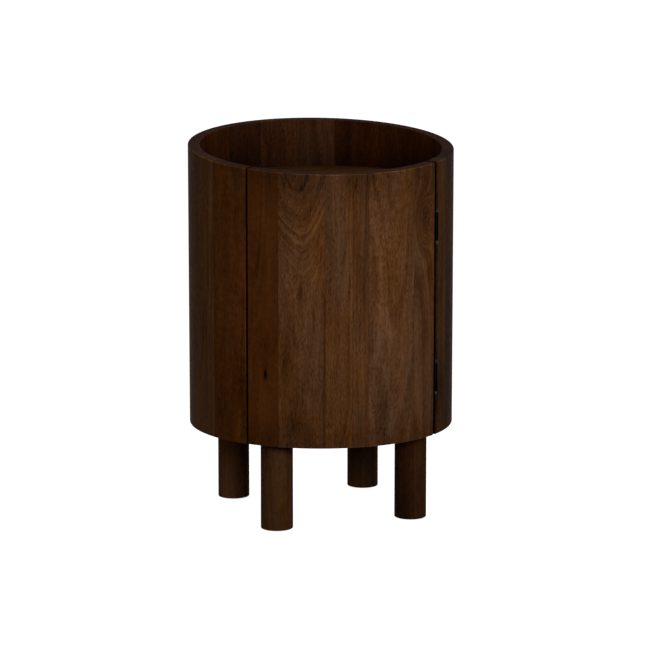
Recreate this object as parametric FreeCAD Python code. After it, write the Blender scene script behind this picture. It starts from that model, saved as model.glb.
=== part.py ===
# A round nightstand: a drum of glued staves on four round legs, with a sunken tray for its top
# and one curved door, without a knob, that is a piece of the drum's own wall. The rim is sawn
# at a slant: it is highest at the back and lowest at the middle of the door.
# Millimetres. +Z is up, the origin is on the floor under the drum's middle, and the door faces -Y.
# An azimuth is an angle in degrees around Z, counted from -Y towards +X.
import FreeCAD, Part
import math
import os

# Overall form
OVERALL_HEIGHT = 585.0
UNDERSIDE_HEIGHT = 139.0
DRUM_DIAMETER = 406.0
RIM_FALL = 34.0
WALL_THICKNESS = 18.0
ARRIS_RADIUS = 1.5

# Door: its place in the wall, and the gap at its free edge
DOOR_MIDDLE_AZIMUTH = -6.6
DOOR_ARC = 91.0
FREE_GAP = 3.0
DOOR_PANEL_CLEARANCE = 2.5

# Widths of the boards, as shares of the door's and of the shell's arc, in rising azimuth
DOOR_STAVE_SHARES = (14.9, 20.0, 11.5, 7.1, 22.9, 14.6)
SHELL_STAVE_SHARES = (10.2, 16.6, 17.0, 16.0, 16.5, 15.7, 13.6, 8.6,
                      18.7, 18.8, 19.6, 17.5, 20.0, 21.0, 18.0, 19.1)

# Tray floor and bottom board, which sit in grooves of the shell
TRAY_DEPTH = 41.0
TRAY_FLOOR_THICKNESS = 18.0
BOTTOM_THICKNESS = 18.0
BOTTOM_RECESS = 10.0
GROOVE_DEPTH = 6.0
GROOVE_STOP = 14.0
TONGUE_SHOULDER = 6.0
PANEL_FIT = 0.2

# Legs, and the bolts that hold them to the bottom board
LEG_DIAMETER = 49.0
LEG_INSET = 7.9
LEG_ARRIS_RADIUS = 1.2
LEG_BOLT_DIAMETER = 8.0
LEG_BOLT_IN_LEG = 38.0
LEG_BOLT_IN_BOARD = 13.0
LEG_BOLT_CHAMFER = 0.8
INSERT_DIAMETER = 11.0
INSERT_LENGTH = 15.0
FASTENER_CLEARANCE = 0.05

# Foot glides, each held by a nail
GLIDE_DIAMETER = 24.0
GLIDE_HEIGHT = 2.0
GLIDE_ROUNDING = 0.6
NAIL_DIAMETER = 2.4
NAIL_LENGTH = 14.0
NAIL_HEAD_DIAMETER = 6.0
NAIL_HEAD_THICKNESS = 0.7
NAIL_HEAD_RECESS = 0.5

# Butt hinges, whose leaves lie on the edges of the wall, so their barrel sets that gap's width
HINGE_LENGTH = 44.0
HINGE_LEAF_WIDTH = 14.0
HINGE_LEAF_THICKNESS = 1.2
HINGE_PIN_DIAMETER = 2.9
HINGE_PIN_CLEARANCE = 0.05
HINGE_PIN_STANDOFF = 1.25
HINGE_KNUCKLES = 5
HINGE_KNUCKLE_CLEARANCE = 0.2
HINGE_COLLAR_HEIGHT = 1.0
HINGE_BALL_DIAMETER = 4.6
HINGE_BALL_SINK_SHARE = 0.2
HINGE_SCREW_SPACING = 26.0
LEAF_ROOT_CLEARANCE = 0.15
UPPER_HINGE_DROP = 91.5
LOWER_HINGE_RISE = 90.0

# Small countersunk screws of the hinges, the latch and its strike plate
SCREW_HEAD_DIAMETER = 6.0
SCREW_DIAMETER = 3.0
SCREW_LENGTH = 14.0
SCREW_TIP_LENGTH = 3.0
SCREW_RECESS_LENGTH = 3.2
SCREW_RECESS_WIDTH = 0.8
SCREW_RECESS_DEPTH = 1.0

# Push latch with a magnet at its tip, under the tray floor near the door's free edge
LATCH_EDGE_DISTANCE = 26.0
LATCH_SETBACK = 6.0
LATCH_LENGTH = 56.0
LATCH_WIDTH = 14.0
LATCH_HEIGHT = 14.0
LATCH_ROUNDING = 1.5
LATCH_BACK_WALL = 3.0
LATCH_FLANGE_LENGTH = 24.0
LATCH_FLANGE_WIDTH = 34.0
LATCH_FLANGE_THICKNESS = 2.4
LATCH_SCREW_SPACING = 24.0
PLUNGER_DIAMETER = 9.0
PLUNGER_LENGTH = 40.0
PLUNGER_CLEARANCE = 0.1
PLUNGER_STRIKE_CLEARANCE = 0.3
PLUNGER_BORE_DIAMETER = 6.4
PLUNGER_NOSE_LENGTH = 8.0
MAGNET_DIAMETER = 6.0
MAGNET_THICKNESS = 3.0
SPRING_DIAMETER = 6.0
SPRING_WIRE_DIAMETER = 0.7
STRIKE_DIAMETER = 16.0
STRIKE_THICKNESS = 1.2
STRIKE_RECESS_CLEARANCE = 0.15

# How far a cutting shape runs past the face that it opens
OVERRUN = 2.0
# Share of an edge's rounding within which two places count as one
SAME_PLACE_SHARE = 0.02

# Places that follow from the sizes above
outer_radius = DRUM_DIAMETER / 2
inner_radius = outer_radius - WALL_THICKNESS
rim_middle = OVERALL_HEIGHT - RIM_FALL / 2
rim_front = OVERALL_HEIGHT - RIM_FALL
tray_floor_top = rim_front - TRAY_DEPTH
tray_floor_bottom = tray_floor_top - TRAY_FLOOR_THICKNESS
board_bottom = UNDERSIDE_HEIGHT + BOTTOM_RECESS
free_azimuth = DOOR_MIDDLE_AZIMUTH - DOOR_ARC / 2
hinge_azimuth = DOOR_MIDDLE_AZIMUTH + DOOR_ARC / 2

ORIGIN = FreeCAD.Vector(0, 0, 0)
AXIS_X = FreeCAD.Vector(1, 0, 0)
AXIS_Y = FreeCAD.Vector(0, 1, 0)
AXIS_Z = FreeCAD.Vector(0, 0, 1)


# Helpers

def turned(shape, axis, degrees):
    """A copy of a shape, turned about an axis through the origin."""
    copy = shape.copy()
    copy.rotate(ORIGIN, axis, degrees)
    return copy


def moved(shape, x, y, z):
    """A copy of a shape, moved."""
    copy = shape.copy()
    copy.translate(FreeCAD.Vector(x, y, z))
    return copy


def at_azimuth(shape, azimuth):
    """Turns what was made outwards along +X, with +Y towards rising azimuth, to its azimuth."""
    return turned(shape, AXIS_Z, azimuth - 90)


def place(radius, azimuth, height):
    """The point at a radius, an azimuth and a height."""
    angle = math.radians(azimuth - 90)
    return FreeCAD.Vector(radius * math.cos(angle), radius * math.sin(angle), height)


def arc_angle(length, radius):
    """The angle, in degrees, that a length takes along a circle."""
    return math.degrees(length / radius)


def block(x_range, y_range, z_range):
    """A box between two values on each axis."""
    size = [high - low for low, high in (x_range, y_range, z_range)]
    corner = FreeCAD.Vector(x_range[0], y_range[0], z_range[0])
    return Part.makeBox(size[0], size[1], size[2], corner)


def rod(diameter, bottom, top, grow=0):
    """An upright cylinder on the origin's axis, its diameter grown all round by a clearance."""
    return Part.makeCylinder(diameter / 2 + grow, top - bottom, FreeCAD.Vector(0, 0, bottom))


def lathe(points):
    """A solid turned about Z from an outline of radius and height pairs."""
    corners = [FreeCAD.Vector(radius, 0, height) for radius, height in points]
    outline = Part.makePolygon(corners + corners[:1])
    return Part.Face(outline).revolve(ORIGIN, AXIS_Z, 360)


def ring_sector(inside, outside, bottom, top, start, end):
    """A piece of a ring between two azimuths."""
    corners = [FreeCAD.Vector(inside, 0, bottom), FreeCAD.Vector(outside, 0, bottom),
               FreeCAD.Vector(outside, 0, top), FreeCAD.Vector(inside, 0, top)]
    outline = Part.makePolygon(corners + corners[:1])
    return at_azimuth(Part.Face(outline).revolve(ORIGIN, AXIS_Z, end - start), start)


def middle_of(edge):
    """The point halfway along an edge."""
    return edge.valueAt((edge.FirstParameter + edge.LastParameter) / 2)


def boundaries(shares, start, end):
    """Azimuths that divide an arc in the given shares, both ends included."""
    total = sum(shares)
    azimuths = [start]
    for share in shares:
        azimuths.append(azimuths[-1] + (end - start) * share / total)
    return azimuths


# Screws

def screw_outline(grow):
    """Head flush at height 0 and point downwards; a clearance makes it the screw's own hole."""
    head = SCREW_HEAD_DIAMETER / 2 + grow
    shank = SCREW_DIAMETER / 2 + grow
    sink = head - shank
    return [(0, 0), (head, 0), (shank, -sink), (shank, SCREW_TIP_LENGTH - SCREW_LENGTH),
            (0, -SCREW_LENGTH - grow)]


def screw():
    """A countersunk wood screw with a cross recess in its head."""
    half_length = SCREW_RECESS_LENGTH / 2
    half_width = SCREW_RECESS_WIDTH / 2
    slot = block((-half_length, half_length), (-half_width, half_width), (-SCREW_RECESS_DEPTH, OVERRUN))
    cross = slot.fuse(turned(slot, AXIS_Z, 90))
    return lathe(screw_outline(0)).cut(cross)


def screw_hole():
    """The hole that a screw fills, open above its head."""
    above = rod(SCREW_HEAD_DIAMETER, 0, OVERRUN, FASTENER_CLEARANCE)
    return lathe(screw_outline(FASTENER_CLEARANCE)).fuse(above)


# Legs and what fastens them

def leg_places():
    """Name and centre of each leg, at the corners of a square, inset from the wall's inner face."""
    half = (inner_radius - LEG_INSET - LEG_DIAMETER / 2) / math.sqrt(2)
    return {"leg_front_left": (-half, -half), "leg_front_right": (half, -half),
            "leg_back_left": (-half, half), "leg_back_right": (half, half)}


def leg():
    """A round leg, worn at the foot, bored for its bolt above and its glide's nail below."""
    shaft = rod(LEG_DIAMETER, GLIDE_HEIGHT, board_bottom)
    foot = [edge for edge in shaft.Edges
            if edge.Closed and edge.BoundBox.ZMax < (GLIDE_HEIGHT + board_bottom) / 2]
    shaft = shaft.makeFillet(LEG_ARRIS_RADIUS, foot)
    bolt_hole = rod(LEG_BOLT_DIAMETER, board_bottom - LEG_BOLT_IN_LEG - FASTENER_CLEARANCE,
                    board_bottom + OVERRUN, FASTENER_CLEARANCE)
    nail_hole = rod(NAIL_DIAMETER, 0, nail_top() + FASTENER_CLEARANCE, FASTENER_CLEARANCE)
    return shaft.cut(bolt_hole).cut(nail_hole)


def leg_bolt():
    """A hanger bolt: its lower half is screwed into the leg, its upper half into the insert."""
    shaft = rod(LEG_BOLT_DIAMETER, board_bottom - LEG_BOLT_IN_LEG, board_bottom + LEG_BOLT_IN_BOARD)
    ends = [edge for edge in shaft.Edges if edge.Closed]
    return shaft.makeChamfer(LEG_BOLT_CHAMFER, ends)


def leg_insert():
    """The threaded sleeve that is set into the bottom board for a leg bolt."""
    sleeve = rod(INSERT_DIAMETER, board_bottom, board_bottom + INSERT_LENGTH)
    bore = rod(LEG_BOLT_DIAMETER, board_bottom - OVERRUN, board_bottom + INSERT_LENGTH + OVERRUN,
               FASTENER_CLEARANCE)
    return sleeve.cut(bore)


def insert_hole():
    """The blind hole in the bottom board for an insert."""
    return rod(INSERT_DIAMETER, board_bottom - OVERRUN, board_bottom + INSERT_LENGTH + FASTENER_CLEARANCE,
               FASTENER_CLEARANCE)


def nail_top():
    """Height of the point of a glide's nail."""
    return NAIL_HEAD_RECESS + NAIL_HEAD_THICKNESS + NAIL_LENGTH


def glide_nail():
    """The nail through a glide, its head sunk clear of the floor."""
    head = rod(NAIL_HEAD_DIAMETER, NAIL_HEAD_RECESS, NAIL_HEAD_RECESS + NAIL_HEAD_THICKNESS)
    return head.fuse(rod(NAIL_DIAMETER, NAIL_HEAD_RECESS, nail_top())).removeSplitter()


def foot_glide():
    """A plastic disc under a leg, rounded below, with a sunk seat for its nail."""
    disc = rod(GLIDE_DIAMETER, 0, GLIDE_HEIGHT)
    lower = [edge for edge in disc.Edges if edge.Closed and edge.BoundBox.ZMax < GLIDE_HEIGHT / 2]
    disc = disc.makeFillet(GLIDE_ROUNDING, lower)
    seat = rod(NAIL_HEAD_DIAMETER, -OVERRUN, NAIL_HEAD_RECESS + NAIL_HEAD_THICKNESS, FASTENER_CLEARANCE)
    shank = rod(NAIL_DIAMETER, -OVERRUN, GLIDE_HEIGHT + OVERRUN, FASTENER_CLEARANCE)
    return disc.cut(seat).cut(shank)


def at_each_leg(shape):
    """One copy of a shape at every leg, as a list."""
    return [moved(shape, x, y, 0) for x, y in leg_places().values()]


# Hinges, made with the drum's radius along +X and the shell's side of the gap towards +Y

knuckle_bore_radius = HINGE_PIN_DIAMETER / 2 + HINGE_PIN_CLEARANCE
barrel_radius = knuckle_bore_radius + HINGE_LEAF_THICKNESS
pin_distance = outer_radius + HINGE_PIN_STANDOFF
ball_radius = HINGE_BALL_DIAMETER / 2
ball_rise = HINGE_COLLAR_HEIGHT + ball_radius * (1 - HINGE_BALL_SINK_SHARE)
half_hinge = HINGE_LENGTH / 2
leaf_root = barrel_radius + LEAF_ROOT_CLEARANCE
leaf_screw_distance = pin_distance - (leaf_root + HINGE_LEAF_WIDTH) / 2
hinge_heights = {"upper_hinge": rim_front - UPPER_HINGE_DROP,
                 "lower_hinge": UNDERSIDE_HEIGHT + LOWER_HINGE_RISE}
SHELL_SIDE, DOOR_SIDE = 1, -1


def side_block(x_range, y_range, z_range, side):
    """A box on the shell's side of the gap, or its mirror image on the door's side."""
    near, far = y_range
    if side == DOOR_SIDE:
        near, far = -y_range[1], -y_range[0]
    return block(x_range, (near, far), z_range)


def hinge_screw_places(side):
    """Turns a shape that points down at the origin into the leaf's two screw places."""
    def put(shape):
        level = turned(shape, AXIS_X, 90 * side)
        return [moved(level, leaf_screw_distance, knuckle_bore_radius * side, share * HINGE_SCREW_SPACING)
                for share in (-0.5, 0.5)]
    return put


def hinge_leaf(side):
    """A leaf rolled round the pin: a flat plate, and every second knuckle of the barrel."""
    plate_side = (knuckle_bore_radius, barrel_radius)
    buried_end = pin_distance - HINGE_LEAF_WIDTH
    leaf = side_block((buried_end, pin_distance - leaf_root), plate_side, (-half_hinge, half_hinge), side)
    first = 0 if side == SHELL_SIDE else 1
    knuckle_length = HINGE_LENGTH / HINGE_KNUCKLES
    for index in range(first, HINGE_KNUCKLES, 2):
        low = index * knuckle_length - half_hinge + HINGE_KNUCKLE_CLEARANCE / 2
        high = low + knuckle_length - HINGE_KNUCKLE_CLEARANCE
        root = side_block((pin_distance - leaf_root - HINGE_LEAF_THICKNESS, pin_distance), plate_side,
                          (low, high), side)
        barrel = moved(rod(2 * barrel_radius, low, high), pin_distance, 0, 0)
        leaf = leaf.fuse(root).fuse(barrel)
    bore = rod(2 * knuckle_bore_radius, -half_hinge - OVERRUN, half_hinge + OVERRUN)
    leaf = leaf.cut(moved(bore, pin_distance, 0, 0))
    for hole in hinge_screw_places(side)(screw_hole()):
        leaf = leaf.cut(hole)
    return leaf.removeSplitter()


def hinge_pin():
    """The pin, with a collar and a ball at both ends."""
    pin = rod(HINGE_PIN_DIAMETER, -half_hinge, half_hinge)
    for end in (-1, 1):
        collar_ends = sorted((end * half_hinge, end * (half_hinge + HINGE_COLLAR_HEIGHT)))
        pin = pin.fuse(rod(2 * barrel_radius, collar_ends[0], collar_ends[1]))
        ball_place = FreeCAD.Vector(0, 0, end * (half_hinge + ball_rise))
        pin = pin.fuse(Part.makeSphere(ball_radius, ball_place))
    return moved(pin.removeSplitter(), pin_distance, 0, 0)


def at_hinge(shape, height):
    """Puts a shape made for a hinge at its height on the hinge edge of the door."""
    return at_azimuth(moved(shape, 0, 0, height), hinge_azimuth)


def hinge_screw_holes(side):
    """The holes of both hinges' screws on one side of the gap."""
    return [at_hinge(hole, height) for hole in hinge_screw_places(side)(screw_hole())
            for height in hinge_heights.values()]


# Push latch, made with the drum's radius along +X and its bore's axis at height 0

latch_azimuth = free_azimuth + arc_angle(LATCH_EDGE_DISTANCE, inner_radius)
latch_height = tray_floor_bottom - LATCH_HEIGHT / 2
latch_front = inner_radius - LATCH_SETBACK
latch_back = latch_front - LATCH_LENGTH
latch_middle = (latch_front + latch_back) / 2
plunger_tip = inner_radius - PLUNGER_STRIKE_CLEARANCE
plunger_back = plunger_tip - PLUNGER_LENGTH


def lying_rod(diameter, inside, outside, grow=0):
    """A cylinder that lies along +X between two radii of the drum."""
    return turned(rod(diameter, inside, outside, grow), AXIS_Y, 90)


def latch_screw_places(shape):
    """Puts a shape that points down at the origin in the latch's two screw places, pointing up."""
    upward = turned(shape, AXIS_X, 180)
    face = LATCH_HEIGHT / 2 - LATCH_FLANGE_THICKNESS
    return [moved(upward, latch_middle, share * LATCH_SCREW_SPACING, face) for share in (-0.5, 0.5)]


def latch_housing():
    """The latch's case, with a flange that is screwed up against the tray floor."""
    half_width = LATCH_WIDTH / 2
    half_height = LATCH_HEIGHT / 2
    case = block((latch_back, latch_front), (-half_width, half_width), (-half_height, half_height))
    lower = [edge for edge in case.Edges
             if edge.BoundBox.XLength > LATCH_WIDTH and edge.BoundBox.ZMax < 0]
    case = case.makeFillet(LATCH_ROUNDING, lower)
    half_flange = LATCH_FLANGE_LENGTH / 2
    half_span = LATCH_FLANGE_WIDTH / 2
    flange = block((latch_middle - half_flange, latch_middle + half_flange), (-half_span, half_span),
                   (half_height - LATCH_FLANGE_THICKNESS, half_height))
    bore = lying_rod(PLUNGER_DIAMETER, latch_back + LATCH_BACK_WALL, latch_front + OVERRUN,
                     PLUNGER_CLEARANCE)
    housing = case.fuse(flange).cut(bore)
    for hole in latch_screw_places(screw_hole()):
        housing = housing.cut(hole)
    return housing.removeSplitter()


def latch_plunger():
    """The sliding plunger: a solid nose with a pocket for the magnet, hollow behind for the spring."""
    body = lying_rod(PLUNGER_DIAMETER, plunger_back, plunger_tip)
    hollow = lying_rod(PLUNGER_BORE_DIAMETER, plunger_back - OVERRUN, plunger_tip - PLUNGER_NOSE_LENGTH)
    pocket = lying_rod(MAGNET_DIAMETER, plunger_tip - MAGNET_THICKNESS - FASTENER_CLEARANCE,
                       plunger_tip + OVERRUN, FASTENER_CLEARANCE)
    return body.cut(hollow).cut(pocket)


def latch_magnet():
    """The magnet in the plunger's nose, flush with its tip."""
    return lying_rod(MAGNET_DIAMETER, plunger_tip - MAGNET_THICKNESS, plunger_tip)


def latch_spring():
    """A plain sleeve that fills the room of the latch's coil spring, pressed short."""
    front = plunger_tip - PLUNGER_NOSE_LENGTH - PLUNGER_STRIKE_CLEARANCE
    back = latch_back + LATCH_BACK_WALL
    sleeve = lying_rod(SPRING_DIAMETER, back, front)
    return sleeve.cut(lying_rod(SPRING_DIAMETER, back - OVERRUN, front + OVERRUN, -SPRING_WIRE_DIAMETER))


def strike_screw_place(shape):
    """Puts a shape that points down at the origin in the strike plate's hole, pointing outwards."""
    return moved(turned(shape, AXIS_Y, -90), inner_radius, 0, 0)


def strike_plate():
    """The steel disc on the door that the magnet holds."""
    disc = lying_rod(STRIKE_DIAMETER, inner_radius, inner_radius + STRIKE_THICKNESS)
    return disc.cut(strike_screw_place(screw_hole()))


def strike_room():
    """What is cut from the door's inner face for the strike plate and its screw."""
    seat = lying_rod(STRIKE_DIAMETER, inner_radius - OVERRUN, inner_radius + STRIKE_THICKNESS,
                     STRIKE_RECESS_CLEARANCE)
    return seat.fuse(strike_screw_place(screw_hole()))


def at_latch(shape):
    """Puts a shape made for the latch at its height and azimuth."""
    return at_azimuth(moved(shape, 0, 0, latch_height), latch_azimuth)


# The drum's wall

groove_start = hinge_azimuth + arc_angle(GROOVE_STOP, inner_radius)
groove_end = free_azimuth + 360 - arc_angle(GROOVE_STOP, inner_radius)


def rim_height(point):
    """Height of the rim's slanting plane over a point."""
    towards_door = place(1, DOOR_MIDDLE_AZIMUTH, 0)
    return rim_middle - RIM_FALL / DRUM_DIAMETER * point.dot(towards_door)


def above_rim():
    """All that is sawn off above the rim's slanting plane."""
    reach = DRUM_DIAMETER
    waste = block((-reach, reach), (-reach, reach), (0, OVERALL_HEIGHT))
    slanting = turned(waste, AXIS_Y, math.degrees(math.atan(RIM_FALL / DRUM_DIAMETER)))
    return at_azimuth(moved(slanting, 0, 0, rim_middle), DOOR_MIDDLE_AZIMUTH)


def door_slot(azimuth, gap):
    """The straight-sided gap between the door and the shell, through the whole wall."""
    slot = block((inner_radius - OVERRUN, outer_radius + OVERRUN), (-gap / 2, gap / 2),
                 (UNDERSIDE_HEIGHT - OVERRUN, OVERALL_HEIGHT + OVERRUN))
    return at_azimuth(slot, azimuth)


def meets_air(edge, gaps):
    """Whether an edge of a stave is one of the rim's arcs, or lies round a door gap."""
    near = ARRIS_RADIUS * SAME_PLACE_SHARE
    middle = middle_of(edge)
    radius = math.hypot(middle.x, middle.y)
    on_rim = min(abs(middle.z - UNDERSIDE_HEIGHT), abs(middle.z - rim_height(middle))) < near
    on_face = min(abs(radius - inner_radius), abs(radius - outer_radius)) < near
    for azimuth, gap in gaps:
        across = place(1, azimuth + 90, 0)
        if abs(abs(middle.dot(across)) - gap / 2) < near:
            return True
    return on_rim and on_face


def stave(start, end, gaps):
    """One board of the drum's wall between two azimuths, worn round where it meets air."""
    blank = ring_sector(inner_radius, outer_radius, UNDERSIDE_HEIGHT, OVERALL_HEIGHT + OVERRUN, start, end)
    board = blank.cut(above_rim())
    for azimuth, gap in gaps:
        board = board.cut(door_slot(azimuth, gap))
    return board.makeFillet(ARRIS_RADIUS, [edge for edge in board.Edges if meets_air(edge, gaps)])


def groove(bottom, thickness):
    """The groove round the shell for the tongue of a flat board, stopped short of the door."""
    return ring_sector(inner_radius - OVERRUN, inner_radius + GROOVE_DEPTH, bottom,
                       bottom + thickness - TONGUE_SHOULDER + PANEL_FIT, groove_start, groove_end)


def staves(shares, first_gap, last_gap):
    """All boards of the door or the shell between two gaps, each an azimuth and a width."""
    azimuths = boundaries(shares, first_gap[0], last_gap[0])
    boards = []
    for index in range(len(shares)):
        gaps = []
        if index == 0:
            gaps.append(first_gap)
        if index == len(shares) - 1:
            gaps.append(last_gap)
        boards.append(stave(azimuths[index], azimuths[index + 1], gaps))
    return boards


def cut_where_met(shape, cutters):
    """Cuts from a shape those cutters that reach it."""
    for cutter in cutters:
        if shape.BoundBox.intersect(cutter.BoundBox) and shape.common(cutter).Volume > 0:
            shape = shape.cut(cutter)
    return shape


# The two flat boards

def flat_board(bottom, thickness):
    """A round board that clears the door, with a tongue under a shoulder all round the shell."""
    snug = inner_radius - PANEL_FIT
    top = bottom + thickness
    room_start = free_azimuth - arc_angle(FREE_GAP / 2 + PANEL_FIT, inner_radius)
    room_end = hinge_azimuth + arc_angle(barrel_radius + PANEL_FIT, inner_radius)
    door_room = ring_sector(inner_radius - DOOR_PANEL_CLEARANCE, inner_radius + OVERRUN, bottom - OVERRUN,
                            top + OVERRUN, room_start, room_end)
    tongue_end = arc_angle(PANEL_FIT, inner_radius)
    tongue = ring_sector(snug - GROOVE_DEPTH, snug + GROOVE_DEPTH, bottom, top - TONGUE_SHOULDER,
                         groove_start + tongue_end, groove_end - tongue_end)
    return rod(2 * snug, bottom, top).cut(door_room).fuse(tongue).removeSplitter()


def tray_floor():
    """The sunken floor of the tray, with the latch's screw holes below."""
    board = flat_board(tray_floor_bottom, TRAY_FLOOR_THICKNESS)
    return cut_where_met(board, [at_latch(hole) for hole in latch_screw_places(screw_hole())])


def bottom_board():
    """The cabinet's floor, bored below for the leg inserts."""
    board = flat_board(board_bottom, BOTTOM_THICKNESS)
    return cut_where_met(board, at_each_leg(insert_hole()))


# All nodes

def make_nodes():
    """Every sub-part by the name of its node, as a list of solids."""
    nodes = {}
    hinge_gap = (hinge_azimuth, 2 * barrel_radius)
    shell_cutters = [groove(tray_floor_bottom, TRAY_FLOOR_THICKNESS), groove(board_bottom, BOTTOM_THICKNESS)]
    shell_cutters += hinge_screw_holes(SHELL_SIDE)
    for number, board in enumerate(staves(SHELL_STAVE_SHARES, hinge_gap, (free_azimuth + 360, FREE_GAP)), 1):
        nodes["shell_stave_%02d" % number] = [cut_where_met(board, shell_cutters)]

    door_cutters = hinge_screw_holes(DOOR_SIDE) + [at_latch(strike_room())]
    for number, board in enumerate(staves(DOOR_STAVE_SHARES, (free_azimuth, FREE_GAP), hinge_gap), 1):
        nodes["door_stave_%d" % number] = [cut_where_met(board, door_cutters)]

    nodes["tray_floor"] = [tray_floor()]
    nodes["bottom_board"] = [bottom_board()]
    for name, (x, y) in leg_places().items():
        nodes[name] = [moved(leg(), x, y, 0)]
    nodes["leg_bolts"] = at_each_leg(leg_bolt())
    nodes["leg_inserts"] = at_each_leg(leg_insert())
    nodes["foot_glides"] = at_each_leg(foot_glide())
    nodes["glide_nails"] = at_each_leg(glide_nail())

    shell_screws = []
    door_screws = []
    for name, height in hinge_heights.items():
        nodes[name + "_shell_leaf"] = [at_hinge(hinge_leaf(SHELL_SIDE), height)]
        nodes[name + "_door_leaf"] = [at_hinge(hinge_leaf(DOOR_SIDE), height)]
        nodes[name + "_pin"] = [at_hinge(hinge_pin(), height)]
        shell_screws += [at_hinge(one, height) for one in hinge_screw_places(SHELL_SIDE)(screw())]
        door_screws += [at_hinge(one, height) for one in hinge_screw_places(DOOR_SIDE)(screw())]
    nodes["hinge_screws_shell"] = shell_screws
    nodes["hinge_screws_door"] = door_screws

    nodes["latch_housing"] = [at_latch(latch_housing())]
    nodes["latch_plunger"] = [at_latch(latch_plunger())]
    nodes["latch_magnet"] = [at_latch(latch_magnet())]
    nodes["latch_spring"] = [at_latch(latch_spring())]
    nodes["latch_screws"] = [at_latch(one) for one in latch_screw_places(screw())]
    nodes["strike_plate"] = [at_latch(strike_plate())]
    nodes["strike_screw"] = [at_latch(strike_screw_place(screw()))]
    return nodes


def main():
    os.makedirs("parts", exist_ok=True)
    for name, solids in make_nodes().items():
        shape = solids[0] if len(solids) == 1 else Part.makeCompound(solids)
        shape.exportStep("parts/%s.step" % name)
        row = (name, len(shape.Solids), shape.Volume, shape.isValid())
        print("%-24s %3d solids  %12.1f mm3  valid %s" % row)
    pin = place(pin_distance, hinge_azimuth, 0)
    outwards = place(1, latch_azimuth, 0)
    print("door axis at %.4f, %.4f" % (pin.x, pin.y))
    print("latch slides along %.5f, %.5f at azimuth %.3f" % (outwards.x, outwards.y, latch_azimuth))


main()
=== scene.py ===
import math

import bpy
import numpy as np
from mathutils import Matrix, Vector


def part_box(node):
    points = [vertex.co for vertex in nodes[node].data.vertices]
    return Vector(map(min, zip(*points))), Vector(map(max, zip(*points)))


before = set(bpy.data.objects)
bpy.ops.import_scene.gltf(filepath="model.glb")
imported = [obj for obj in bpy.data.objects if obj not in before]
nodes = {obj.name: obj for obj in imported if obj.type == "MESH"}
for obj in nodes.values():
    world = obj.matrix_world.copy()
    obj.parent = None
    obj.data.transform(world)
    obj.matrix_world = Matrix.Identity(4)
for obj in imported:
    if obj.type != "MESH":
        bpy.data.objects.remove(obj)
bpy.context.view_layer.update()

MM = 0.001


# Places worked out from the frame

def points_of(node):
    """All vertices of a node as an array of rows."""
    mesh = nodes[node].data
    flat = np.empty(len(mesh.vertices) * 3, np.float32)
    mesh.vertices.foreach_get("co", flat)
    return flat.reshape(-1, 3)


def board_place(node):
    """Azimuth of a stave's middle and half the angle it takes, both in radians."""
    points = points_of(node)
    middle = points[:, :2].mean(0)
    middle_azimuth = math.atan2(middle[0], -middle[1])
    azimuths = np.arctan2(points[:, 0], -points[:, 1]) - middle_azimuth
    azimuths = (azimuths + math.pi) % (2 * math.pi) - math.pi
    middle_azimuth += float(azimuths.max() + azimuths.min()) / 2
    return middle_azimuth, float(azimuths.max() - azimuths.min()) / 2


shell_staves = sorted(name for name in nodes if name.startswith("shell_stave"))
door_staves = sorted(name for name in nodes if name.startswith("door_stave"))
legs = sorted(name for name in nodes if name.startswith("leg_") and name.endswith(("left", "right")))
wall_points = points_of(shell_staves[len(shell_staves) // 2])
outer_radius = float(np.hypot(wall_points[:, 0], wall_points[:, 1]).max())
drum_middle = (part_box(door_staves[0])[0].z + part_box(door_staves[0])[1].z) / 2


# Material helpers

def linear(colour, opacity=1.0):
    """An sRGB hex colour as linear light."""
    parts = [int(colour[index:index + 2], 16) / 255 for index in (1, 3, 5)]
    light = [part / 12.92 if part <= 0.04045 else ((part + 0.055) / 1.055) ** 2.4 for part in parts]
    return light + [opacity]


def add(tree, kind, inputs, **settings):
    """Adds a node; each input takes a constant or, as a link, another node's socket."""
    made = tree.nodes.new("ShaderNode" + kind)
    for name, value in settings.items():
        setattr(made, name, value)
    for name, value in inputs.items():
        if isinstance(value, bpy.types.NodeSocket):
            tree.links.new(value, made.inputs[name])
        else:
            made.inputs[name].default_value = value
    return made.outputs


def new_material(name):
    """An empty material and the node tree that fills it."""
    material = bpy.data.materials.new(name)
    material.use_nodes = True
    material.node_tree.nodes.clear()
    return material, material.node_tree


def rise(tree, value, low, high, start=0.0, end=1.0):
    """A value that eases from start to end while its input goes from low to high."""
    return add(tree, "MapRange", {"Value": value, "From Min": low, "From Max": high, "To Min": start,
                                  "To Max": end}, interpolation_type="SMOOTHSTEP")[0]


def tinted(tree, colour, tint, amount):
    """The colour times a tint, as far as the amount goes."""
    full = add(tree, "VectorMath", {0: colour, 1: tint}, operation="MULTIPLY")["Vector"]
    return add(tree, "Mix", {"Factor": amount, "A": colour, "B": full}, data_type="RGBA")["Result"]


def finish_material(tree, surface):
    """Links the surface shader to the material's output."""
    add(tree, "OutputMaterial", {"Surface": surface["BSDF"]})


# Wood: mango, sawn into boards and turned legs, dark walnut stain under a thin satin lacquer.
# The stain hides most of the rings, and leaves fine dark pores, faint bands and smoky patches.
# Its lengths are in millimetres.

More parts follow.
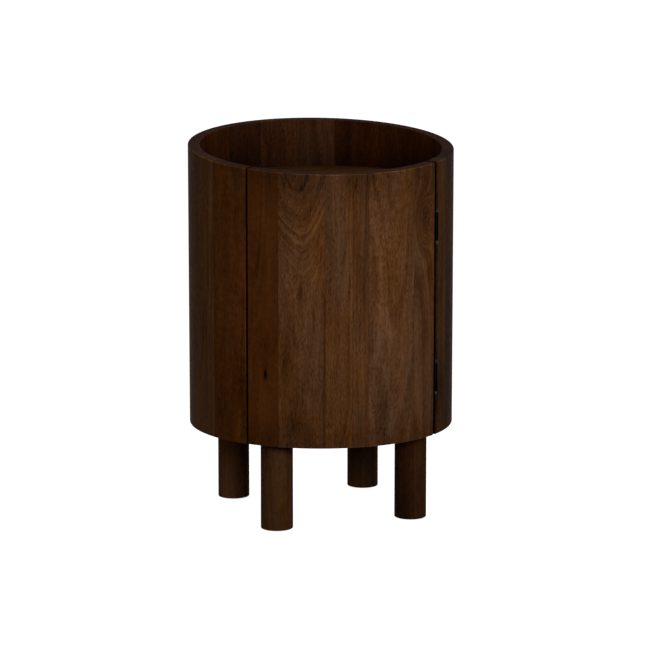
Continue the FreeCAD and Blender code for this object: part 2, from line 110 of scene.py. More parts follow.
# Noises drawn out along the board: width, length, detail, and an offset that keeps them apart.
# Real pores are 0.2 mm wide; they and the finest fibres are drawn as wide as shows from this distance
PORE_NOISE = (1.7, 9.0, 1, 11)
HAIR_NOISE = (1.5, 7.0, 1, 91)
FIBRE_NOISE = (3.6, 130.0, 2, 3)
STREAK_NOISE = (5.0, 170.0, 2, 37)
MOTTLE_NOISE = (11.0, 8.0, 1, 51)
CLOUD_NOISE = (34.0, 130.0, 1, 23)
PATCH_NOISE = (54.4, 143.0, 1, 67)
WANDER_NOISE = (32.0, 95.0, 1, 79)
NOISE_ROUGHNESS = 0.6
# The fibres are moved aside by a share of the rings' radius, with the wander added to it
WANDER_REACH = 26.0
FLOW_SHARE = 0.6
# Growth rings, the bands of tone that they make, and the slow noise that bends them
RING_WIDTH = 5.5
BANDS_PER_RING = 0.9
BAND_ROUGHNESS = 0.7
LATE_WOOD_POWER = 5.0
BEND_WIDTH = 70.0
BEND_LENGTH = 230.0
BEND_REACH = 24.0
# Glue lines, and the strips of a glued-up board, each with its wood from another place
GLUE_LINE_WIDTH = 0.7
STRIP_WIDTH = 61.0
STRIP_SHIFT = (90, 25, 900)
ALONG_X = Matrix(((0, -1, 0), (0, 0, -1), (1, 0, 0))).to_euler()
# Half size of a mark into the board, so great that the mark goes right through
MARK_DEPTH = 1000.0

# What each feature at its fullest adds to the tone, which picks the colour; a half is the ground
GROUND_TONE = 0.5
BAND_WEIGHT = 0.42
LATE_WOOD_WEIGHT = -0.07
FIBRE_WEIGHT = 0.36
HAIR_WEIGHT = 0.60
PORE_WEIGHT = -0.22
CLOUD_WEIGHT = 0.5
STREAK_WEIGHT = -0.2
MOTTLE_WEIGHT = 0.16
STRIP_WEIGHT = 0.16
SEAM_WEIGHT = -0.14
GLUE_LINE_WEIGHT = -0.12
# Where in its noise a feature begins to show, and where it shows in full
PORE_RANGE = (0.54, 0.72)
STREAK_RANGE = (0.58, 0.78)
SMOKE_RANGE = (0.46, 0.66)
GOLD_RANGE = (0.5, 0.34)

# Tints of the stain: smoke is where it went grey, end grain drinks more, a worn edge is paler and has a
# painted highlight
SMOKE_TINT = (0.78, 0.90, 1.12)
GOLD_TINT = (1.10, 1.02, 0.62)
END_TINT = (0.46, 0.33, 0.26)
WORN_AND_HIGHLIGHT_TINT = (1.75, 2.2, 2.8)
# Painted shade: the drum's inside is darker than its outside, and the sawn faces in the door gaps are
# nearly black
INSIDE_SHADE_TINT = (0.68, 0.62, 0.66)
GAP_SHADE_TINT = (0.20, 0.17, 0.15)
# How far a face's normal points up or outwards where it begins to take a tint, and where it has all
END_RANGE = (0.8, 0.97)
INSIDE_SHADE_RANGE = (-0.5, -0.9)
GAP_SHADE_RANGE = (0.5, 0.1)
WORN_AND_HIGHLIGHT_RANGE = (0.16, 0.42)

# The gloss is far below a real lacquer's: with more, the white surroundings veil the drum's sides
LACQUER_IOR = 1.45
LACQUER_GLOSS = 0.004
LACQUER_ROUGHNESS = 0.52
PORE_ROUGHNESS = 0.7
PORE_RELIEF = -0.6
RELIEF_STRENGTH = 0.35
RELIEF_DEPTH = 0.3


def grain(tree, source, noise, seed):
    """Noise drawn out along the board, for features of a real width and length."""
    width, length, detail, offset = noise
    spread = add(tree, "Mapping", {"Vector": source, "Scale": (1 / width, 1 / width, 1 / length),
                                   "Location": (offset + seed, seed, offset)})["Vector"]
    return add(tree, "TexNoise", {"Vector": spread, "Scale": 1, "Detail": detail,
                                  "Roughness": NOISE_ROUGHNESS})["Fac"]


def soft_spot(tree, board, across, up, half_width, half_height, lean=0.0):
    """A smooth oval hump, 1 at its middle and 1/e at its half sizes, leaning by an angle in degrees."""
    oval = add(tree, "Mapping", {"Vector": board, "Location": (across, 0, up),
                                 "Rotation": (0, math.radians(lean), 0),
                                 "Scale": (half_width, MARK_DEPTH, half_height)},
               vector_type="TEXTURE")["Vector"]
    distance = add(tree, "VectorMath", {0: oval, 1: oval}, operation="DOT_PRODUCT")["Value"]
    return add(tree, "Math", {0: 1 / math.e, 1: distance}, operation="POWER")[0]


def strips_of(tree, board):
    """Strips across a glued-up board: the place each has its wood from, and what they do to the tone."""
    across = add(tree, "SeparateXYZ", {"Vector": board})["X"]
    index = add(tree, "Math", {0: across, 1: STRIP_WIDTH}, operation="DIVIDE")[0]
    index = add(tree, "Math", {0: index}, operation="FLOOR")[0]
    hashed = add(tree, "TexWhiteNoise", {"W": index}, noise_dimensions="1D")
    within = add(tree, "Math", {0: across, 1: STRIP_WIDTH}, operation="FLOORED_MODULO")[0]
    seam = add(tree, "MapRange", {"Value": within, "From Min": 0, "From Max": GLUE_LINE_WIDTH,
                                  "To Min": 1, "To Max": 0})[0]
    moved = add(tree, "VectorMath", {0: hashed["Color"], 1: STRIP_SHIFT, 2: board},
                operation="MULTIPLY_ADD")["Vector"]
    return moved, [(hashed["Value"], STRIP_WEIGHT, 0.5), (seam, SEAM_WEIGHT, 0)]


def ring_radius(tree, board, pith, tilt, seed, sweep):
    """Distance from a pith that leans against the board, bent by slow noise.

    An optional sweep adds to it over a range of heights, which turns the rings into a cathedral.
    """
    bend = add(tree, "Mapping", {"Vector": board, "Location": (seed, 0, 0),
                                 "Scale": (1 / BEND_WIDTH, 1 / BEND_WIDTH, 1 / BEND_LENGTH)})["Vector"]
    bend = add(tree, "TexNoise", {"Vector": bend, "Scale": 1, "Detail": 1})["Color"]
    leaning = add(tree, "Mapping", {"Vector": board, "Rotation": tilt, "Location": pith})["Vector"]
    leaning = add(tree, "VectorMath", {0: bend, 1: (BEND_REACH, BEND_REACH, 0), 2: leaning},
                  operation="MULTIPLY_ADD")["Vector"]
    leaning = add(tree, "VectorMath", {0: leaning, 1: (1, 1, 0)}, operation="MULTIPLY")["Vector"]
    radius = add(tree, "VectorMath", {0: leaning}, operation="LENGTH")["Value"]
    if not sweep:
        return radius
    low, high, reach = sweep
    height = add(tree, "SeparateXYZ", {"Vector": board})["Z"]
    swept = rise(tree, height, low, high, 0, reach)
    return add(tree, "Math", {0: radius, 1: swept}, operation="ADD")[0]


def glue_line(tree, board, half_angle):
    """1 at a stave's two glued edges, falling to 0 over a glue line's width."""
    parts = add(tree, "SeparateXYZ", {"Vector": board})
    depth = add(tree, "Math", {0: outer_radius / MM, 1: parts["Y"]}, operation="SUBTRACT")[0]
    angle = add(tree, "Math", {0: parts["X"], 1: depth}, operation="ARCTAN2")[0]
    angle = add(tree, "Math", {0: angle}, operation="ABSOLUTE")[0]
    line_angle = GLUE_LINE_WIDTH * MM / outer_radius
    return add(tree, "MapRange", {"Value": angle, "From Min": half_angle - line_angle,
                                  "From Max": half_angle})[0]


def stave_faces(tree, colour, place, upright):
    """The colour on a stave's faces, which the normal's part along the radius tells from each other."""
    level = add(tree, "VectorMath", {0: place["Object"], 1: (1, 1, 0)}, operation="MULTIPLY")["Vector"]
    level = add(tree, "VectorMath", {0: level}, operation="NORMALIZE")["Vector"]
    outwards = add(tree, "VectorMath", {0: level, 1: place["Normal"]}, operation="DOT_PRODUCT")["Value"]
    # Painted shade on the faces that look into the drum
    colour = tinted(tree, colour, INSIDE_SHADE_TINT, rise(tree, outwards, *INSIDE_SHADE_RANGE))
    # Sawn edges point neither along the radius nor upright and get painted shade; the worn rounding points
    # to both
    either = add(tree, "Math", {0: outwards, 1: outwards}, operation="MULTIPLY")[0]
    either = add(tree, "Math", {0: upright, 1: upright, 2: either}, operation="MULTIPLY_ADD")[0]
    # Painted shade: the sawn faces in the door gaps are made nearly black
    colour = tinted(tree, colour, GAP_SHADE_TINT, rise(tree, either, *GAP_SHADE_RANGE))
    # The worn rounding is paler from wear and from a painted highlight along the edge
    rounding = add(tree, "Math", {0: upright, 1: outwards}, operation="MULTIPLY")[0]
    return tinted(tree, colour, WORN_AND_HIGHLIGHT_TINT, rise(tree, rounding, *WORN_AND_HIGHLIGHT_RANGE))


def wood(name, stain, turn, shift, pith, tilt, seed, knots=(), marks=(), sweep=None, half_angle=None,
         shade=0.0, strips=False, smoke=0.6, gold=0.6, fibre=1.0, pores=1.0, rings=1.0, mottle=1.0,
         clouds=1.0):
    """Solid wood seen through a dark stain, in a board's own millimetres: X across, Y into it, Z up.

    What the rings, fibres, pores, streaks, clouds and single marks do is added up to one tone, and
    the tone picks a colour between the stain's darkest, its ground and its palest. Knots also add
    ovals to the rings.
    """
    material, tree = new_material(name)
    place = add(tree, "TexCoord", {})
    board = add(tree, "Mapping", {"Vector": place["Object"], "Scale": (1 / MM,) * 3, "Rotation": turn,
                                  "Location": shift})["Vector"]
    # Each part of the tone is a value, its weight and the value's mean, at which it changes nothing
    tone_parts = []
    if strips:
        board, tone_parts = strips_of(tree, board)
    radius = ring_radius(tree, board, pith, tilt, seed, sweep)
    for across, up, half_width, half_height, lift, dark in knots:
        hump = soft_spot(tree, board, across, up, half_width, half_height)
        radius = add(tree, "Math", {0: hump, 1: lift, 2: radius}, operation="MULTIPLY_ADD")[0]
        tone_parts.append((hump, -dark, 0))
    for across, up, half_width, half_height, lean, pale in marks:
        mark = soft_spot(tree, board, across, up, half_width, half_height, lean)
        tone_parts.append((mark, pale, 0))

    ring = add(tree, "Math", {0: radius, 1: RING_WIDTH}, operation="DIVIDE")[0]
    bands = add(tree, "TexNoise", {"W": ring, "Scale": BANDS_PER_RING, "Detail": 2,
                                   "Roughness": BAND_ROUGHNESS}, noise_dimensions="1D")["Fac"]
    late = add(tree, "Math", {0: ring}, operation="FRACT")[0]
    late = add(tree, "Math", {0: late, 1: LATE_WOOD_POWER}, operation="POWER")[0]

    # The fibres wander a little from the upright, and flow round the knots
    wander = grain(tree, board, WANDER_NOISE, seed)
    drift = add(tree, "Math", {0: wander, 1: WANDER_REACH, 2: radius}, operation="MULTIPLY_ADD")[0]
    drift = add(tree, "CombineXYZ", {"X": drift, "Y": drift})["Vector"]
    flow = add(tree, "VectorMath", {0: drift, 1: (FLOW_SHARE, FLOW_SHARE, 0), 2: board},
               operation="MULTIPLY_ADD")["Vector"]

    hair = grain(tree, flow, HAIR_NOISE, seed)
    fine_pores = rise(tree, grain(tree, flow, PORE_NOISE, seed), *PORE_RANGE)
    streaks = rise(tree, grain(tree, flow, STREAK_NOISE, seed), *STREAK_RANGE)
    tone_parts += [
        (bands, BAND_WEIGHT * rings, 0.5),
        (late, LATE_WOOD_WEIGHT * rings, 0.17),
        (grain(tree, flow, FIBRE_NOISE, seed), FIBRE_WEIGHT * fibre, 0.5),
        (hair, HAIR_WEIGHT * fibre, 0.5),
        (fine_pores, PORE_WEIGHT * pores, 0.2),
        (grain(tree, flow, CLOUD_NOISE, seed), CLOUD_WEIGHT * clouds, 0.5),
        (streaks, STREAK_WEIGHT, 0.06),
        (grain(tree, flow, MOTTLE_NOISE, seed), MOTTLE_WEIGHT * mottle, 0.5)]
    if half_angle:
        tone_parts.append((glue_line(tree, board, half_angle), GLUE_LINE_WEIGHT, 0))
    tone = GROUND_TONE + shade - sum(weight * mean for value, weight, mean in tone_parts)
    for value, weight, mean in tone_parts:
        tone = add(tree, "Math", {0: value, 1: weight, 2: tone}, operation="MULTIPLY_ADD")[0]

    darkest, ground, palest = stain
    ramp = tree.nodes.new("ShaderNodeValToRGB")
    ramp.color_ramp.elements[0].color = linear(darkest)
    ramp.color_ramp.elements.new(GROUND_TONE).color = linear(ground)
    ramp.color_ramp.elements[2].color = linear(palest)
    tree.links.new(tone, ramp.inputs[0])
    colour = ramp.outputs[0]

    patches = grain(tree, flow, PATCH_NOISE, seed)
    colour = tinted(tree, colour, SMOKE_TINT, rise(tree, patches, *SMOKE_RANGE, 0, smoke))
    colour = tinted(tree, colour, GOLD_TINT, rise(tree, patches, *GOLD_RANGE, 0, gold))
    facing = add(tree, "SeparateXYZ", {"Vector": place["Normal"]})
    upright = add(tree, "Math", {0: facing["Z"]}, operation="ABSOLUTE")[0]
    if not strips:
        colour = tinted(tree, colour, END_TINT, rise(tree, upright, *END_RANGE))
    if half_angle:
        colour = stave_faces(tree, colour, place, upright)

    roughness = add(tree, "MapRange", {"Value": fine_pores, "To Min": LACQUER_ROUGHNESS,
                                       "To Max": PORE_ROUGHNESS})[0]
    relief = add(tree, "Math", {0: fine_pores, 1: PORE_RELIEF, 2: hair}, operation="MULTIPLY_ADD")[0]
    bump = add(tree, "Bump", {"Height": relief, "Strength": RELIEF_STRENGTH,
                              "Distance": RELIEF_DEPTH * MM})["Normal"]
    surface = add(tree, "BsdfPrincipled", {"Base Color": colour, "Roughness": roughness, "Normal": bump,
                                           "IOR": LACQUER_IOR, "Specular IOR Level": LACQUER_GLOSS})
    finish_material(tree, surface)
    return material


def dress(node, material):
    """Gives a node its finish."""
    nodes[node].material_slots[0].material = material


# Stains of the boards: darkest in the pores, ground, and palest
RED_BROWN = ("#130702", "#42220b", "#5f3614")
BROWN = ("#180c05", "#492b16", "#66452a")
TAN_BROWN = ("#1a0d06", "#4d2f19", "#6c4a31")
OLIVE = ("#140b05", "#412816", "#5a3d25")
DARK = ("#0e0703", "#341c0e", "#4c2f1b")
GOLDEN = ("#180c05", "#57371a", "#7c562d")

# Each piece is cut from another place of its log, drawn at random: the pith's distance to the side
# and behind the face in millimetres, how far it leans in radians, and where its noises begin
STAVE_PITH_ASIDE = (5, 40)
STAVE_PITH_BEHIND = (35, 90)
STAVE_LEAN_BACK = (-0.05, 0.05)
STAVE_LEAN_ASIDE = (-0.03, 0.03)
LEG_PITH_ASIDE = (30, 60)
LEG_PITH_BEHIND = (-20, 20)
SEED_RANGE = (0, 100)
random = np.random.RandomState(7)


def stave_material(node, stain, **details):
    """A stave's wood, with its own cut from the log."""
    azimuth, half_angle = board_place(node)
    side = random.choice((-1, 1))
    pith = (side * random.uniform(*STAVE_PITH_ASIDE), random.uniform(*STAVE_PITH_BEHIND), 0)
    tilt = (random.uniform(*STAVE_LEAN_BACK), random.uniform(*STAVE_LEAN_ASIDE), 0)
    values = dict(stain=stain, turn=(0, 0, -azimuth), shift=(0, outer_radius / MM, 0), pith=pith,
                  tilt=tilt, seed=random.uniform(*SEED_RANGE), half_angle=half_angle)
    values.update(details)
    dress(node, wood("wood_" + node, **values))


# Single features of a board: millimetres across from its middle and up from the floor, half width
# and half height, then how far a knot lifts the rings and how much it darkens, or how many degrees
# a mark leans and how much paler it is, which is darker where it is below nought
DOOR_STAINS = (RED_BROWN, BROWN, TAN_BROWN, BROWN, TAN_BROWN, BROWN)
DOOR_DETAILS = (
    {"knots": ((4.6, 249, 2.8, 8.5, 6, 0.7), (2, 262, 15, 38, 9, 0.03)), "fibre": 0.5, "pores": 0.35,
     "smoke": 0.1, "clouds": 0.9, "rings": 0.8, "mottle": 1.6,
     "marks": ((-20, 260, 5, 60, 0, 0.05), (6, 200, 16, 18, 10, 0.06), (2, 296, 20, 17, 0, -0.10),
               (-15, 320, 6, 60, 0, 0.08), (0, 420, 8, 60, 0, -0.06))},
    {"sweep": (360, 570, -46), "pith": (-6, 52, 0), "tilt": (0, 0, 0), "rings": 1.8,
     "marks": ((2, 452, 8, 7, 0, -0.16), (4, 512, 24, 36, 0, -0.10), (-2, 374, 3, 13, 4, -0.30),
               (20, 395, 6, 34, 0, 0.10), (-27, 262, 6, 20, 0, -0.15), (-12, 176, 18, 15, 0, -0.18),
               (-16, 232, 12, 11, 30, 0.07), (0, 360, 26, 60, 0, 0.06), (10, 350, 10, 40, 0, 0.06))},
    {"marks": ((9, 440, 2.5, 28, 6, -0.24), (15, 380, 2.2, 26, 8, -0.20), (0, 215, 24, 70, 0, -0.11),
               (0, 375, 20, 60, 0, 0.05)), "mottle": 0.7},
    {"pith": (60, 20, 0), "tilt": (0, 0, 0), "mottle": 0.6, "shade": 0.04,
     "marks": ((0, 480, 18, 80, 0, -0.13), (-8, 535, 3, 12, 18, -0.16), (-12, 350, 1.2, 260, 0, -0.10),
               (12, 350, 1.2, 260, 0, -0.12))},
    {"mottle": 2.2, "shade": 0.04,
     "marks": ((-34, 545, 4, 12, 0, -0.2), (-14, 330, 11, 60, -24, 0.09), (8, 290, 9, 44, -28, 0.10),
               (-4, 208, 9, 18, 20, -0.09), (26, 330, 8, 90, 0, -0.04), (10, 300, 30, 44, 0, 0.11),
               (-29, 410, 6, 65, 0, -0.17), (-29, 270, 6, 28, 0, 0.20), (-8, 165, 12, 16, 0, 0.14))},
    {"knots": ((-2, 472, 17, 38, 34, 0.15),), "rings": 1.6, "shade": 0.055,
     "marks": ((-4, 492, 12, 18, 0, -0.15), (15, 428, 5, 14, 10, 0.16), (-4, 405, 8, 9, 0, 0.12),
               (10, 390, 10, 14, 0, -0.16), (0, 240, 30, 90, 0, 0.16), (-4, 490, 30, 50, 0, -0.08))},
)
# Painted shade: all of the door's boards are a little darker under the rim and near the lower edge, where
# the light falls off
SHADED_DOOR_ENDS = ((0, 551, 60, 36, 0, -0.17), (0, 148, 60, 24, 0, -0.14))
for node, stain, details in zip(door_staves, DOOR_STAINS, DOOR_DETAILS):
    stave_material(node, stain, **dict(details, marks=details["marks"] + SHADED_DOOR_ENDS))

SHELL_STAINS = (OLIVE, DARK, RED_BROWN, RED_BROWN, RED_BROWN, RED_BROWN, RED_BROWN, DARK,
                TAN_BROWN, BROWN, DARK, RED_BROWN, RED_BROWN, OLIVE, BROWN, RED_BROWN)
SHELL_DETAILS = {
    # Painted shade: a dark line along the stave's edge beside the hinge gap
    "shell_stave_01": {"marks": ((-16, 350, 5, 900, 0, -0.34), (0, 200, 40, 55, 0, -0.26),
                                 (4, 535, 5, 18, 0, 0.12)), "smoke": 0.1},
    "shell_stave_02": {"shade": -0.07, "marks": ((-14, 265, 14, 75, 0, -0.22),)},
    "shell_stave_05": {"shade": -0.055},
    "shell_stave_06": {"shade": -0.075},
    "shell_stave_07": {"shade": -0.055},
    "shell_stave_11": {"marks": ((-24, 450, 18, 900, 0, 0.14),)},
    "shell_stave_12": {"shade": 0.125},
    "shell_stave_13": {"marks": ((30, 450, 20, 900, 0, -0.08),)},
    "shell_stave_14": {"shade": 0.075},
    "shell_stave_15": {"smoke": 0.0, "shade": 0.135},
    "shell_stave_16": {"fibre": 0.7, "clouds": 1.3, "mottle": 2.6,
                       "marks": ((13.4, 481, 1.6, 10, 12, -0.3), (-20, 495, 4, 30, 5, 0.1),
                                 (2, 545, 14, 10, 35, 0.1), (0, 222, 40, 44, 0, -0.13),
                                 (0, 400, 60, 130, 0, 0.09), (-19, 400, 8, 170, 0, 0.15),
                                 (8, 525, 12, 20, 0, 0.12), (28, 235, 8, 85, 0, -0.16))},
}
for node, stain in zip(shell_staves, SHELL_STAINS):
    stave_material(node, stain, **SHELL_DETAILS.get(node, {}))

LEG_STAINS = {"leg_back_left": BROWN, "leg_back_right": OLIVE, "leg_front_left": OLIVE,
              "leg_front_right": DARK}
# The legs' marks are painted light and shade: paler where the light falls on a leg, darker on the side
# under the drum and near the foot
LEG_LIGHT_AND_SHADE = {"leg_back_left": ((-13, 75, 15, 300, 0, 0.38), (17, 75, 13, 300, 0, -0.30)),
             "leg_front_left": ((6, 60, 10, 300, 0, 0.08), (2, 55, 8, 14, 25, 0.06)),
             "leg_back_right": ((4, 75, 22, 300, 0, 0.18), (0, 20, 40, 40, 0, -0.08)),
             "leg_front_right": ((16, 75, 12, 300, 0, 0.10), (-18, 75, 12, 300, 0, -0.12),
                                 (4, 95, 5, 16, 10, 0.12))}
for node in legs:
    low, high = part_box(node)
    middle = (low + high) / (2 * MM)
    pith = (random.uniform(*LEG_PITH_ASIDE), random.uniform(*LEG_PITH_BEHIND), 0)
    dress(node, wood("wood_" + node, LEG_STAINS[node], turn=(0, 0, 0), shift=(-middle.x, -middle.y, 0),
                     pith=pith, tilt=(0.02, 0.03, 0), seed=random.uniform(*SEED_RANGE),
                     marks=LEG_LIGHT_AND_SHADE[node], fibre=0.65, pores=0.6, mottle=1.8))

for node, stain in (("tray_floor", GOLDEN), ("bottom_board", BROWN)):
    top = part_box(node)[1].z / MM
    dress(node, wood("wood_" + node, stain, turn=ALONG_X, shift=(0, top, 0), pith=(10, 50, 0),
                     tilt=(0.04, 0.02, 0), seed=random.uniform(*SEED_RANGE), strips=True))


# Metals and plastics, with lengths in millimetres

SCRATCH_LENGTH = 9.0
SCRATCH_WIDTH = 0.35
SCRATCH_DEPTH = 0.05
BLOTCH_SIZE = 7.0
BLOTCH_RANGE = (0.3, 0.7)
WORN_METAL_RANGE = (0.55, 0.95)
SPARK_GRAIN_SIZE = 0.5
SPARK_GRAIN_DEPTH = 0.04
SPARK_GRAIN_STRENGTH = 0.3
PLASTIC_IOR = 1.5


def speckle(tree, size, stretch=1.0):
    """Fine noise of a real size in millimetres, drawn out along Z by a stretch."""
    place = add(tree, "TexCoord", {})["Object"]
    scaled = add(tree, "Mapping", {"Vector": place, "Scale": (1 / (size * MM), 1 / (size * MM),
                                                              1 / (size * stretch * MM))})["Vector"]
    return add(tree, "TexNoise", {"Vector": scaled, "Scale": 1, "Detail": 2})["Fac"]


def metal(name, base, worn_base, roughness, rough_range, relief, edge=1.0):
    """Metal whose tone and gloss change in fine scratches along it; edge dims what it mirrors aslant."""
    material, tree = new_material(name)
    scratches = speckle(tree, SCRATCH_WIDTH, SCRATCH_LENGTH / SCRATCH_WIDTH)
    blotches = speckle(tree, BLOTCH_SIZE)
    tone = add(tree, "Math", {0: scratches, 1: 0.5, 2: blotches}, operation="MULTIPLY_ADD")[0]
    tone = rise(tree, tone, *WORN_METAL_RANGE)
    colour = add(tree, "Mix", {"Factor": tone, "A": linear(base), "B": linear(worn_base)},
                 data_type="RGBA")["Result"]
    low, high = BLOTCH_RANGE
    gloss = add(tree, "MapRange", {"Value": blotches, "From Min": low, "From Max": high,
                                   "To Min": roughness, "To Max": roughness + rough_range})[0]
    bump = add(tree, "Bump", {"Height": scratches, "Strength": relief,
                              "Distance": SCRATCH_DEPTH * MM})["Normal"]
    surface = add(tree, "BsdfPrincipled", {"Base Color": colour, "Metallic": 1.0, "Roughness": gloss,
                                           "Normal": bump, "Specular Tint": (edge, edge, edge, 1)})
    finish_material(tree, surface)
    return material


def moulded(name, base, roughness):
    """Moulded plastic: an even colour under a fine spark-eroded grain."""
    material, tree = new_material(name)
    texture = speckle(tree, SPARK_GRAIN_SIZE)
    gloss = add(tree, "MapRange", {"Value": texture, "To Min": roughness - 0.05,
                                   "To Max": roughness + 0.08})[0]
    bump = add(tree, "Bump", {"Height": texture, "Strength": SPARK_GRAIN_STRENGTH,
                              "Distance": SPARK_GRAIN_DEPTH * MM})["Normal"]
    surface = add(tree, "BsdfPrincipled", {"Base Color": linear(base), "Roughness": gloss, "Normal": bump,
                                           "IOR": PLASTIC_IOR})
    finish_material(tree, surface)
    return material


# Blackened steel is nearly black, and rubbed bright on the pins' balls; zinc plate is pale and cool
blackened_steel = metal("blackened_steel", "#050404", "#0b0a09", 0.55, 0.12, 0.4, 0.05)
rubbed_steel = metal("rubbed_steel", "#141110", "#2e2a26", 0.34, 0.12, 0.2)
zinc_plate = metal("zinc_plate", "#8f9092", "#b4b5b9", 0.30, 0.14, 0.3)
nickel_plate = metal("nickel_plate", "#a8a49c", "#c4c0b8", 0.16, 0.08, 0.1)
turned_brass = metal("turned_brass", "#8c6c36", "#b8955a", 0.28, 0.12, 0.3)
black_nylon = moulded("black_nylon", "#191715", 0.48)
latch_plastic = moulded("latch_plastic", "#181614", 0.42)
plunger_plastic = moulded("plunger_plastic", "#2b2826", 0.36)

fitting_finishes = {
    "upper_hinge_shell_leaf": blackened_steel, "upper_hinge_door_leaf": blackened_steel,
    "lower_hinge_shell_leaf": blackened_steel, "lower_hinge_door_leaf": blackened_steel,
    "upper_hinge_pin": rubbed_steel, "lower_hinge_pin": rubbed_steel,
    "hinge_screws_shell": blackened_steel, "hinge_screws_door": blackened_steel,
    "leg_bolts": zinc_plate, "glide_nails": zinc_plate, "latch_spring": zinc_plate,
    "latch_screws": zinc_plate, "strike_plate": zinc_plate, "strike_screw": zinc_plate,
    "latch_magnet": nickel_plate, "leg_inserts": turned_brass, "foot_glides": black_nylon,
    "latch_housing": latch_plastic, "latch_plunger": plunger_plastic,
}
for node, material in fitting_finishes.items():
    dress(node, material)


# Studio: a pale floor that keeps the shadow, a white background and soft light from the front right

CAMERA_AZIMUTH = math.radians(-19.2)
CAMERA_ELEVATION = math.radians(10.85)
CAMERA_DISTANCE = 5.004
CAMERA_LENS = 179.66
SENSOR_WIDTH = 36
CLIP_END = 200
AIM_HEIGHT = 0.280
AIM_RIGHT = 0.0064
AIM_UP = 0.0080


def direction(azimuth, elevation):
    """Unit vector from the object towards an azimuth and elevation."""
    return Vector((math.sin(azimuth) * math.cos(elevation), -math.cos(azimuth) * math.cos(elevation),
                   math.sin(elevation)))


back = direction(CAMERA_AZIMUTH, CAMERA_ELEVATION)
right = Vector((math.cos(CAMERA_AZIMUTH), math.sin(CAMERA_AZIMUTH), 0))
up = back.cross(right)
aim = Vector((0, 0, AIM_HEIGHT)) + right * AIM_RIGHT + up * AIM_UP
camera_data = bpy.data.cameras.new("camera")
camera_data.lens = CAMERA_LENS
camera_data.sensor_width = SENSOR_WIDTH
camera_data.clip_end = CLIP_END
camera = bpy.data.objects.new("camera", camera_data)
camera.location = aim + back * CAMERA_DISTANCE
camera.rotation_euler = back.to_track_quat("Z", "Y").to_euler()
bpy.context.scene.collection.objects.link(camera)
bpy.context.scene.camera = camera

SOFTBOX_DISTANCE = 1.35
SOFTBOX_SIZE = (0.55, 0.32)
SOFTBOX_SPREAD = math.radians(70)
# The key light, a little to the right of the camera
KEY_AZIMUTH = CAMERA_AZIMUTH + math.radians(14)
KEY_HEIGHT = 0.60
KEY_POWER = 1.9
# A second softbox, behind and high up, lights the tray's floor and what the key light can't reach
BACK_AZIMUTH = CAMERA_AZIMUTH + math.radians(172)
BACK_HEIGHT = 1.15
BACK_POWER = 1.3
# A third stands straight behind, lower than the rim, and lights only the drum's back
LOW_AZIMUTH = CAMERA_AZIMUTH + math.radians(180)
LOW_HEIGHT = 0.42
LOW_POWER = 1.1


def softbox(name, azimuth, height, power):
    """A rectangular lamp that faces the drum's middle."""
    lamp = bpy.data.lights.new(name, "AREA")
    lamp.shape = "RECTANGLE"
    lamp.size, lamp.size_y = SOFTBOX_SIZE
    lamp.energy = power
    lamp.spread = SOFTBOX_SPREAD
    holder = bpy.data.objects.new(name, lamp)
    holder.location = direction(azimuth, 0) * SOFTBOX_DISTANCE + Vector((0, 0, height))
    towards = holder.location - Vector((0, 0, drum_middle))
    holder.rotation_euler = towards.to_track_quat("Z", "Y").to_euler()
    bpy.context.scene.collection.objects.link(holder)
    return holder


softbox("key_softbox", KEY_AZIMUTH, KEY_HEIGHT, KEY_POWER)
back_softbox = softbox("back_softbox", BACK_AZIMUTH, BACK_HEIGHT, BACK_POWER)
low_softbox = softbox("low_softbox", LOW_AZIMUTH, LOW_HEIGHT, LOW_POWER)
back_softbox.visible_glossy = False
low_softbox.visible_glossy = False

FLOOR_SIZE = 60.0
floor_mesh = bpy.data.meshes.new("floor")
half = FLOOR_SIZE / 2
floor_mesh.from_pydata([(-half, -half, 0), (half, -half, 0), (half, half, 0), (-half, half, 0)], [],
                       [(0, 1, 2, 3)])
floor = bpy.data.objects.new("floor", floor_mesh)
bpy.context.scene.collection.objects.link(floor)

FLOOR_PAPER = "#bcbcba"
FLOOR_GLOW = 0.93
FLOOR_BOUNCE = "#484746"
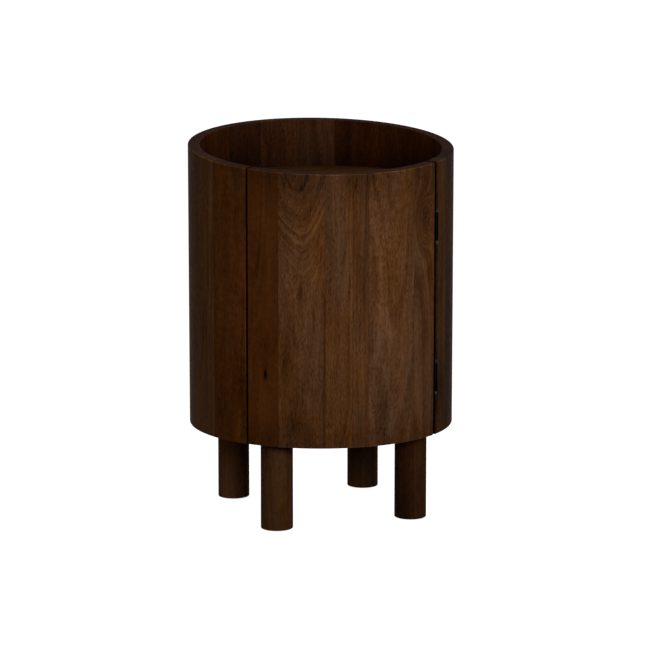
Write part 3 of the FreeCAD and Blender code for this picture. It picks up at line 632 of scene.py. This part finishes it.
# Even light from all round: a little less from above, and half as much from the left and the right
# of the camera, where dark screens stand
SIDE_LIGHT = 0.40
TOP_LIGHT = 0.36
TOP_RANGE = (0.1, 0.7)
SCREEN_LIGHT = 0.5
SCREEN_RANGE = (0.4, 0.85)


def seen_directly(tree):
    """1 for rays that show the background: from the camera, in a reflection or through glass."""
    rays = add(tree, "LightPath", {})
    either = add(tree, "Math", {0: rays["Is Camera Ray"], 1: rays["Is Glossy Ray"]}, operation="MAXIMUM")[0]
    return add(tree, "Math", {0: either, 1: rays["Is Transmission Ray"]}, operation="MAXIMUM")[0]


floor_paper, tree = new_material("floor_paper")
paper = add(tree, "BsdfDiffuse", {"Color": linear(FLOOR_PAPER)})["BSDF"]
glow = add(tree, "Emission", {"Strength": FLOOR_GLOW})["Emission"]
lit = add(tree, "AddShader", {0: paper, 1: glow})["Shader"]
# The studio's real floor throws little light back under the drum
dull = add(tree, "BsdfDiffuse", {"Color": linear(FLOOR_BOUNCE)})["BSDF"]
shown = add(tree, "MixShader", {"Fac": seen_directly(tree), 1: dull, 2: lit})["Shader"]
add(tree, "OutputMaterial", {"Surface": shown})
floor_mesh.materials.append(floor_paper)

world = bpy.data.worlds.new("studio")
bpy.context.scene.world = world
world.use_nodes = True
tree = world.node_tree
tree.nodes.clear()
sky = add(tree, "TexCoord", {})["Generated"]
height = add(tree, "SeparateXYZ", {"Vector": sky})["Z"]
sideways = add(tree, "VectorMath", {0: sky, 1: right}, operation="DOT_PRODUCT")["Value"]
sideways = add(tree, "Math", {0: sideways}, operation="ABSOLUTE")[0]
level = add(tree, "Math", {0: rise(tree, height, *TOP_RANGE, SIDE_LIGHT, TOP_LIGHT),
                           1: rise(tree, sideways, *SCREEN_RANGE, 1.0, SCREEN_LIGHT)},
            operation="MULTIPLY")[0]
dim = add(tree, "Background", {"Color": (1, 1, 1, 1), "Strength": level})["Background"]
white = add(tree, "Background", {"Color": (1, 1, 1, 1), "Strength": 1.0})["Background"]
shown = add(tree, "MixShader", {"Fac": seen_directly(tree), 1: dim, 2: white})["Shader"]
add(tree, "OutputWorld", {"Surface": shown})

bpy.context.scene.view_settings.view_transform = "Standard"
